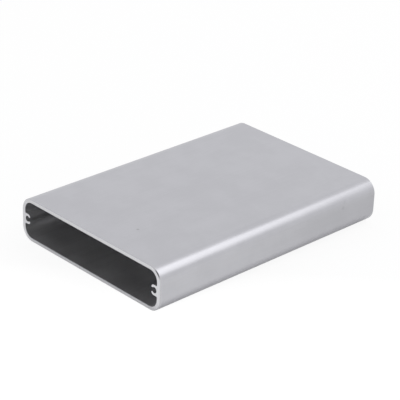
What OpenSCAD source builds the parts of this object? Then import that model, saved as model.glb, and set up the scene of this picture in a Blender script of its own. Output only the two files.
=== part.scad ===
// Extruded aluminium enclosure: one length of a flat tube with rounded long edges,
// open at both ends, with a screw port along the middle of each side wall.
// Millimetres. The tube runs along Y and rests on Z = 0.

/* [Body] */
// Width across the side walls
body_w = 97; // [80:0.5:120]
// Height from the base to the top
body_h = 22.2; // [20:0.1:32]
// Length that the extrusion is cut to
body_l = 140; // [60:1:220]

/* [Walls] */
// Thickness of the top and of the base
flat_wall = 1.9; // [1.6:0.1:2.8]
// Thickness of the side walls
side_wall = 2.2; // [1.6:0.1:2.8]
// Radius of the four long edges, outside
outer_r = 7; // [5:0.1:8]

/* [Screw ports] */
// Diameter of the bore that takes a self-tapping screw
port_d = 2.9; // [2.4:0.1:3.2]
// Thickness of the lips, above and below the bore
lip_t = 1.15; // [0.9:0.05:1.6]
// Reach of the lips past the bore's axis
lip_reach = 1.85; // [1.5:0.05:2.4]
// Radius of the lips' outer corners
lip_r = 1.5; // [1:0.1:1.5]
// Width of the mouth between the lips
mouth_w = 2; // [1.4:0.1:2.1]
// Step from the side wall's inner face in to the bottom of the bore
port_step = 0.3; // [0.2:0.05:1]
// Radius of the fillets where a port joins the side wall
root_r = 0.5; // [0.3:0.1:0.8]
// Bevel on the tips of the lips, beside the mouth
tip_cut = 0.25; // [0.2:0.05:0.4]

/* [Cut ends] */
// Bevel round the outside of both cut ends
end_cut = 0.4; // [0.2:0.05:0.8]

/* [Hidden] */
$fn = 96;
ALUMINIUM = [0.74, 0.74, 0.76];
inner_r = outer_r - side_wall;
cavity_w = body_w - 2 * side_wall;
cavity_h = body_h - 2 * flat_wall;
bore_r = port_d / 2;
port_h = port_d + 2 * lip_t;
// Distance of each bore's axis from the middle of the body
port_x = cavity_w / 2 - port_step - bore_r;
// Overlap of solids that are joined, and overrun of cutters
lap = 1;

// Corners of a w by h rectangle with its corners cut off at 45 degrees
function cut_rectangle(w, h, cut) = [
    for (side = [[1, 1], [-1, 1], [-1, -1], [1, -1]])
        for (step = side.x * side.y > 0 ? [[0, 1], [1, 0]] : [[1, 0], [0, 1]])
            [side.x * (w / 2 - step.x * cut), side.y * (h / 2 - step.y * cut)]
];

// Places its children at the centres of the four corner arcs of a w by h outline
module at_corners(w, h, r) {
    for (x = [r - w / 2, w / 2 - r])
        for (y = [r - h / 2, h / 2 - r])
            translate([x, y]) children();
}

// Flat outline with round corners
module rounded_outline(w, h, r) {
    square([w - 2 * r, h], center = true);
    square([w, h - 2 * r], center = true);
    at_corners(w, h, r) circle(r);
}

// One corner of the bar: a round post whose two end edges are bevelled
module corner_post() {
    rotate_extrude()
        intersection() {
            polygon(cut_rectangle(2 * outer_r, body_l, end_cut));
            translate([0, -body_l / 2]) square([outer_r, body_l]);
        }
}

// Solid bar with the outside form of the enclosure, centred on the origin
module bar() {
    rotate([90, 0, 0]) at_corners(body_w, body_h, outer_r) corner_post();
    linear_extrude(body_h - 2 * outer_r, center = true)
        polygon(cut_rectangle(body_w, body_l, end_cut));
    rotate([90, 0, 90])
        linear_extrude(body_w - 2 * outer_r, center = true)
            polygon(cut_rectangle(body_l, body_h, end_cut));
}

// Fillet between the upper side of a port and the side wall's inner face
module root_fillet() {
    translate([cavity_w / 2 - root_r, port_h / 2])
        difference() {
            square(root_r);
            translate([0, root_r]) circle(root_r);
        }
}

// Upper half of a port's mouth, wider between the bevelled tips of the lips
module half_mouth() {
    overrun = lip_reach + lap;
    square([overrun, mouth_w / 2]);
    polygon([
        [lip_reach - tip_cut, mouth_w / 2],
        [overrun, mouth_w / 2],
        [overrun, mouth_w / 2 + lap + tip_cut]
    ]);
}

// Section of the port on the right-hand side wall: a block that runs into the wall
// by the radius of its corners, so that only the lips are round
module port_section() {
    block_w = lip_reach + bore_r + port_step + lip_r;
    difference() {
        translate([cavity_w / 2 + lip_r - block_w / 2, 0])
            rounded_outline(block_w, port_h, lip_r);
        translate([port_x, 0]) circle(bore_r);
        for (lower = [0, 1])
            translate([port_x, 0]) mirror([1, 0]) mirror([0, lower]) half_mouth();
    }
    root_fillet();
    mirror([0, 1]) root_fillet();
}

module enclosure_body() {
    color(ALUMINIUM)
        translate([0, 0, body_h / 2]) {
            difference() {
                bar();
                rotate([90, 0, 0])
                    linear_extrude(body_l + 2 * lap, center = true)
                        rounded_outline(cavity_w, cavity_h, inner_r);
            }
            rotate([90, 0, 0])
                linear_extrude(body_l, center = true)
                    for (left = [0, 1])
                        mirror([left, 0]) port_section();
        }
}

enclosure_body();
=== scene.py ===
"""Looks of an extruded aluminium enclosure: an open length of flat tube in satin anodised aluminium.

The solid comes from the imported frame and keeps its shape. This script sorts its faces into four finishes
(outside, saw-cut ends, the bevels round them, inside), gives each a procedural material, and sets up the
floor, the light and the camera. Lengths are metres, angles are degrees, and a noise's scale is in
features to the metre.
"""

import math
from collections import namedtuple

import bpy
from mathutils import Matrix, Vector


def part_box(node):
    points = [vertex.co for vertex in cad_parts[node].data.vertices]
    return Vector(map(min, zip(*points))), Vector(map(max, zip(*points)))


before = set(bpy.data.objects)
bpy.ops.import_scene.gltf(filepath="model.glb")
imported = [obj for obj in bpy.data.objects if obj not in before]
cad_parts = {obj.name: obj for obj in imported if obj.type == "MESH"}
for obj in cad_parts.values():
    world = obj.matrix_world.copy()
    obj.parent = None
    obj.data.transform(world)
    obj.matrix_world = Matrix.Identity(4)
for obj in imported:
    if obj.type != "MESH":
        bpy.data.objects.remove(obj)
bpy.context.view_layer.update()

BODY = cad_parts["enclosure_body"]
LOW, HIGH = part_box("enclosure_body")
SIZE = HIGH - LOW
CENTRE = (LOW + HIGH) / 2

# ---- the body ----

# The section, as the part has it
OUTER_RADIUS = 0.007
WALL = 0.0019

# A face is a cut end, or a bevel, where its normal runs along the extrusion by more than this
END_FACING = 0.9
BEVEL_FACING = 0.3

# Base colours of the metal: each finish at its darkest and at its palest, and the small marks
SKIN = (0.468, 0.468, 0.493, 1), (0.5, 0.5, 0.526, 1)
SAWN = (0.57, 0.57, 0.59, 1), (0.665, 0.665, 0.68, 1)
BEVEL = (0.47, 0.47, 0.49, 1), (0.53, 0.53, 0.55, 1)
# The inside is the same skin as outside, painted paler: painted light that lifts the shade in the hollow
CAVITY_PAINTED_PALER = (0.69, 0.69, 0.7, 1), (0.75, 0.75, 0.76, 1)
MARKED = (0.2, 0.2, 0.21, 1)

# Small marks on the skin, each as dark in the middle as its depth, from 0 to 1
Mark = namedtuple("Mark", "centre radius depth")
PIT_ON_TOP = Mark(Vector((CENTRE.x + 0.0128, LOW.y + 0.0182, HIGH.z)), radius=0.0011, depth=0.55)
LOWER_SCUFF = Mark(Vector((HIGH.x, HIGH.y - 0.023, CENTRE.z + 0.004)), radius=0.0014, depth=0.2)
UPPER_SCUFF = Mark(Vector((HIGH.x, HIGH.y - 0.0215, CENTRE.z + 0.0068)), radius=0.0012, depth=0.2)

# ---- the floor and the surround ----

WHITE = (1, 1, 1, 1)
PAPER = (0.9, 0.9, 0.9, 1)
SURROUND = (1.0, 1.0, 1.012, 1)
DARK_PATCH = (0.15, 0.15, 0.153, 1)

# The floor's side, in lengths of the enclosure, and the gap between it and the base
FLOOR_LENGTHS = 40
FLOOR_GAP = 0.0001
# Share of plain white in the floor that the camera sees. The rest is paper, which keeps the shadow
SEEN_WHITE = 0.9
# Share of plain white in the floor that the metal mirrors: right beside the enclosure, where the floor is in
# its shade, and in the open, past the width of that shade. Taking the white away by the foot is painted
# shade, partly real: it lets the paper's own shadow show in the metal
FOOT_WHITE = 0.12
OPEN_WHITE = 0.95
FOOT_WIDTH = 0.007
# Strength of that white at the near end of the right-hand side, and at its far end: a painted gradient of
# light
NEAR_RIGHT_GLOW = 1.08
FAR_RIGHT_GLOW = 0.9

# Round the middle of the dark patch it is at its darkest out to the first angle, and has faded at the second
PATCH_CORE = 12
PATCH_EDGE = 25

# ---- the view of the near end and the right-hand side wall ----

VIEW_AZIMUTH = 45.89
VIEW_ELEVATION = 26.27
VIEW_ROLL = 1.99
VIEW_DISTANCE = 0.7925
VIEW_LENS = 149.06
SENSOR = 36
CLIP_NEAR = 0.01
CLIP_FAR = 100
# How far the middle of the picture lies from the middle of the enclosure, along the picture's two sides
AIM_ACROSS = -0.00058
AIM_UP = 0.00419


# ---- node helpers ----


class Nodes:
    """Builds one material's or world's node tree with short calls."""

    def __init__(self, owner):
        owner.use_nodes = True
        self.tree = owner.node_tree
        self.tree.nodes.clear()

    def new(self, kind, **fields):
        """Adds a node and sets its fields, such as its operation."""
        node = self.tree.nodes.new("ShaderNode" + kind)
        for name, value in fields.items():
            setattr(node, name, value)
        return node

    def feed(self, socket, value):
        """Links an input to another node's output, or sets it to a plain value."""
        if isinstance(value, bpy.types.NodeSocket):
            self.tree.links.new(value, socket)
        else:
            socket.default_value = value

    def maths(self, operation, *values):
        node = self.new("Math", operation=operation)
        for socket, value in zip(node.inputs, values):
            self.feed(socket, value)
        return node.outputs[0]

    def span(self, value, low, high, to_low=0.0, to_high=1.0, interpolation="SMOOTHSTEP"):
        """Maps low..high to to_low..to_high, held at both ends."""
        node = self.new("MapRange", interpolation_type=interpolation)
        names = "Value", "From Min", "From Max", "To Min", "To Max"
        for name, number in zip(names, (value, low, high, to_low, to_high)):
            self.feed(node.inputs[name], number)
        return node.outputs["Result"]

    def spread(self, noise, low, high, reach=0.2):
        """Maps a noise, which keeps mostly within reach of one half, to low..high."""
        return self.span(noise, 0.5 - reach, 0.5 + reach, low, high)

    def mix(self, factor, a, b):
        """Mixes two colours. The sockets for colours come after those for numbers and vectors."""
        node = self.new("Mix", data_type="RGBA", clamp_factor=True)
        factor_socket, a_socket, b_socket = node.inputs[0], node.inputs[6], node.inputs[7]
        self.feed(factor_socket, factor)
        self.feed(a_socket, a)
        self.feed(b_socket, b)
        return node.outputs[2]

    def place(self, scale=(1, 1, 1), turn=(0, 0, 0)):
        """The surface's own coordinates in metres, turned and then scaled."""
        where = self.new("TexCoord").outputs["Object"]
        for name, value in (("Rotation", [math.radians(t) for t in turn]), ("Scale", scale)):
            mapping = self.new("Mapping")
            mapping.inputs[name].default_value = value
            self.feed(mapping.inputs["Vector"], where)
            where = mapping.outputs["Vector"]
        return where

    def spot(self, centre, radius):
        """1 at a point of the surface, falling to 0 at that radius round it."""
        apart = self.new("VectorMath", operation="DISTANCE")
        self.feed(apart.inputs[0], self.place())
        apart.inputs[1].default_value = centre
        return self.span(apart.outputs["Value"], 0.0, radius, 1.0, 0.0)

    def noise(self, place, scale=1.0, detail=2.0, roughness=0.5):
        node = self.new("TexNoise")
        self.feed(node.inputs["Vector"], place)
        node.inputs["Scale"].default_value = scale
        node.inputs["Detail"].default_value = detail
        node.inputs["Roughness"].default_value = roughness
        return node.outputs["Fac"]

    def bump(self, height, strength, distance):
        node = self.new("Bump")
        self.feed(node.inputs["Height"], height)
        node.inputs["Strength"].default_value = strength
        node.inputs["Distance"].default_value = distance
        return node.outputs["Normal"]

    def metal(self, colour, roughness, normal):
        """Ends the tree in a metal surface."""
        shader = self.new("BsdfPrincipled")
        shader.inputs["Metallic"].default_value = 1.0
        self.feed(shader.inputs["Base Color"], colour)
        self.feed(shader.inputs["Roughness"], roughness)
        self.feed(shader.inputs["Normal"], normal)
        self.end(shader)

    def end(self, shader, output="OutputMaterial"):
        """Ends the tree in that shader."""
        self.feed(self.new(output).inputs["Surface"], shader.outputs[0])


# ---- materials ----


def satin_outside():
    """Silver anodised skin: matt etched grain over faint die lines that run along the extrusion."""
    material = bpy.data.materials.new("satin_anodised")
    n = Nodes(material)
    die_lines = n.noise(n.place(scale=(2200, 16, 2200)), detail=3.0, roughness=0.6)
    clouds = n.noise(n.place(), scale=60.0, detail=4.0, roughness=0.6)
    grain = n.noise(n.place(), scale=5200.0, roughness=0.7)
    tone = n.maths("ADD", n.spread(die_lines, -0.35, 0.35), n.spread(clouds, -0.65, 0.65))
    skin = n.mix(n.span(tone, -1.0, 1.0), *SKIN)
    marks = 0.0
    for mark in (PIT_ON_TOP, LOWER_SCUFF, UPPER_SCUFF):
        spot = n.maths("MULTIPLY", n.spot(mark.centre, mark.radius), mark.depth)
        marks = n.maths("ADD", marks, spot)
    colour = n.mix(marks, skin, MARKED)
    roughness = n.maths("ADD", n.spread(grain, 0.29, 0.36, reach=0.3), n.spread(clouds, -0.015, 0.015))
    height = n.maths("ADD", n.maths("MULTIPLY", die_lines, 0.6), grain)
    n.metal(colour, roughness, n.bump(height, strength=0.08, distance=0.00002))
    return material


def sawn_end():
    """Bare metal of the cut ends, with the fine slanting marks of the saw."""
    material = bpy.data.materials.new("sawn_end")
    n = Nodes(material)
    saw_marks = n.noise(n.place(scale=(5200, 500, 260), turn=(0, 14, 0)))
    clouds = n.noise(n.place(), scale=160.0)
    colour = n.mix(n.spread(saw_marks, 0.0, 1.0), *SAWN)
    roughness = n.maths("ADD", n.spread(saw_marks, 0.28, 0.38), n.spread(clouds, -0.03, 0.03))
    n.metal(colour, roughness, n.bump(saw_marks, strength=0.15, distance=0.00003))
    return material


def cut_edge():
    """Bevels round the cut ends, smoother than the skin."""
    material = bpy.data.materials.new("cut_edge")
    n = Nodes(material)
    grain = n.noise(n.place(), scale=2500.0)
    colour = n.mix(n.spread(grain, 0.0, 1.0), *BEVEL)
    n.metal(colour, n.spread(grain, 0.17, 0.25), n.bump(grain, strength=0.1, distance=0.00002))
    return material


def satin_inside():
    """The skin inside the tube, with coarser die lines than outside, painted paler than outside: painted
    light that lifts the shade in the hollow.
    """
    material = bpy.data.materials.new("satin_inside")
    n = Nodes(material)
    die_lines = n.noise(n.place(scale=(700, 10, 700)), detail=3.0, roughness=0.6)
    clouds = n.noise(n.place(), scale=60.0, detail=3.0)
    tone = n.maths("ADD", n.spread(die_lines, -0.5, 0.5), n.spread(clouds, -0.5, 0.5))
    colour = n.mix(n.span(tone, -1.0, 1.0), *CAVITY_PAINTED_PALER)
    n.metal(colour, n.spread(clouds, 0.35, 0.41), n.bump(die_lines, strength=0.15, distance=0.00004))
    return material


def depth_below_skin(point):
    """How far a point lies inside the enclosure's outer surface, seen along the extrusion."""
    across = abs(point.x - CENTRE.x) - (SIZE.x / 2 - OUTER_RADIUS)
    up = abs(point.z - CENTRE.z) - (SIZE.z / 2 - OUTER_RADIUS)
    beyond = math.hypot(max(across, 0), max(up, 0)) + min(max(across, up), 0)
    return OUTER_RADIUS - beyond


def finish_of(face):
    """Which finish a face has, by the way that it faces and by its depth."""
    facing = abs(face.normal.y)
    if facing > END_FACING:
        return sawn_end
    if facing > BEVEL_FACING:
        return cut_edge
    if depth_below_skin(face.center) > WALL / 2:
        return satin_inside
    return satin_outside


def dress_body():
    """Gives each face of the body its finish."""
    mesh = BODY.data
    mesh.materials.clear()
    finishes = satin_outside, sawn_end, cut_edge, satin_inside
    for finish in finishes:
        mesh.materials.append(finish())
    for face in mesh.polygons:
        face.material_index = finishes.index(finish_of(face))


# ---- floor, light and camera ----


def white_floor():
    """A pale floor that reads as white and keeps a soft shadow."""
    place = CENTRE.x, CENTRE.y, LOW.z - FLOOR_GAP
    bpy.ops.mesh.primitive_plane_add(size=FLOOR_LENGTHS * max(SIZE), location=place)
    floor = bpy.context.object
    floor.name = "floor"
    material = bpy.data.materials.new("floor_white")
    n = Nodes(material)
    paper = n.new("BsdfDiffuse")
    paper.inputs["Color"].default_value = PAPER
    glow = n.new("Emission")
    glow.inputs["Color"].default_value = WHITE
    rays = n.new("LightPath").outputs
    apart = n.new("SeparateXYZ")
    n.feed(apart.inputs[0], n.new("TexCoord").outputs["Object"])
    x, y = apart.outputs["X"], apart.outputs["Y"]

    # Painted light and shade: the white gets weaker along the right-hand side, from its near end to its far
    # end, and the metal mirrors that gradient along its side
    leftwards = n.maths("SUBTRACT", y, x)
    near_right, far_right = -(SIZE.y + SIZE.x) / 2, (SIZE.y - SIZE.x) / 2
    painted_falloff = n.span(leftwards, near_right, far_right, NEAR_RIGHT_GLOW, FAR_RIGHT_GLOW, "LINEAR")
    n.feed(glow.inputs["Strength"], n.maths("MAXIMUM", rays["Is Camera Ray"], painted_falloff))

    # Distance from the enclosure's foot, beside it and before or behind it
    beside = n.maths("SUBTRACT", n.maths("ABSOLUTE", x), SIZE.x / 2)
    before = n.maths("SUBTRACT", n.maths("ABSOLUTE", y), SIZE.y / 2)
    # Painted shade: the white that the metal mirrors fades out by the enclosure's foot, so that the paper's
    # own shadow shows there
    white_past_painted_shade = n.span(n.maths("MAXIMUM", beside, before), 0.0, FOOT_WIDTH, FOOT_WHITE, OPEN_WHITE)
    seen = n.maths("MULTIPLY", rays["Is Camera Ray"], SEEN_WHITE)
    mirrored = n.maths("MULTIPLY", rays["Is Glossy Ray"], white_past_painted_shade)
    blend = n.new("MixShader")
    n.feed(blend.inputs[0], n.maths("MAXIMUM", seen, mirrored))
    n.feed(blend.inputs[1], paper.outputs[0])
    n.feed(blend.inputs[2], glow.outputs[0])
    n.end(blend)
    floor.data.materials.append(material)


def towards(azimuth, elevation):
    """Unit vector from the enclosure to that direction: azimuth 0 is the near end, 90 is +X."""
    a, e = math.radians(azimuth), math.radians(elevation)
    return Vector((math.sin(a) * math.cos(e), -math.cos(a) * math.cos(e), math.sin(e)))


def studio_world():
    """Soft pale surround with a dark patch above the viewer's side. Camera rays see plain white."""
    world = bpy.data.worlds.new("studio")
    bpy.context.scene.world = world
    n = Nodes(world)
    nearness = n.new("VectorMath", operation="DOT_PRODUCT")
    n.feed(nearness.inputs[0], n.new("TexCoord").outputs["Generated"])
    nearness.inputs[1].default_value = towards(azimuth=26, elevation=31)
    edge, core = math.cos(math.radians(PATCH_EDGE)), math.cos(math.radians(PATCH_CORE))
    shade = n.mix(n.span(nearness.outputs["Value"], edge, core), SURROUND, DARK_PATCH)
    background = n.new("Background")
    is_camera = n.new("LightPath").outputs["Is Camera Ray"]
    n.feed(background.inputs["Color"], n.mix(is_camera, shade, WHITE))
    background.inputs["Strength"].default_value = 1.0
    n.end(background, "OutputWorld")


def softbox(name, back, distance, width, height, radiance):
    """A rectangular area light that faces the enclosure, its width along X.

    Its width and height are the angles that it fills, and a radiance of 1 looks as bright as white.
    """
    data = bpy.data.lights.new(name, "AREA")
    data.shape = "RECTANGLE"
    data.size = 2 * distance * math.tan(math.radians(width / 2))
    data.size_y = 2 * distance * math.tan(math.radians(height / 2))
    data.energy = radiance * math.pi * data.size * data.size_y
    lamp = bpy.data.objects.new(name, data)
    across = (Vector((1, 0, 0)) - back * back.x).normalized()
    turn = Matrix((across, back.cross(across), back)).transposed()
    lamp.matrix_world = Matrix.Translation(CENTRE + back * distance) @ turn.to_4x4()
    bpy.context.scene.collection.objects.link(lamp)
    lamp.visible_camera = False


def photo_camera():
    """A long lens at the viewing angle of the near end and the right-hand side."""
    back = towards(VIEW_AZIMUTH, VIEW_ELEVATION)
    level = Vector((0, 0, 1)).cross(back).normalized()
    rise = back.cross(level)
    roll = math.radians(VIEW_ROLL)
    right = math.cos(roll) * level + math.sin(roll) * rise
    up = math.cos(roll) * rise - math.sin(roll) * level
    data = bpy.data.cameras.new("camera")
    data.lens = VIEW_LENS
    data.sensor_width = SENSOR
    data.clip_start = CLIP_NEAR
    data.clip_end = CLIP_FAR
    camera = bpy.data.objects.new("camera", data)
    turn = Matrix((right, up, back)).transposed()
    place = CENTRE + AIM_ACROSS * right + AIM_UP * up + VIEW_DISTANCE * back
    camera.matrix_world = Matrix.Translation(place) @ turn.to_4x4()
    bpy.context.scene.collection.objects.link(camera)
    bpy.context.scene.camera = camera


dress_body()
white_floor()
studio_world()
softbox("overhead", towards(azimuth=132, elevation=49), distance=1.2, width=44, height=32, radiance=1.1)
photo_camera()
bpy.context.scene.view_settings.view_transform = "Standard"
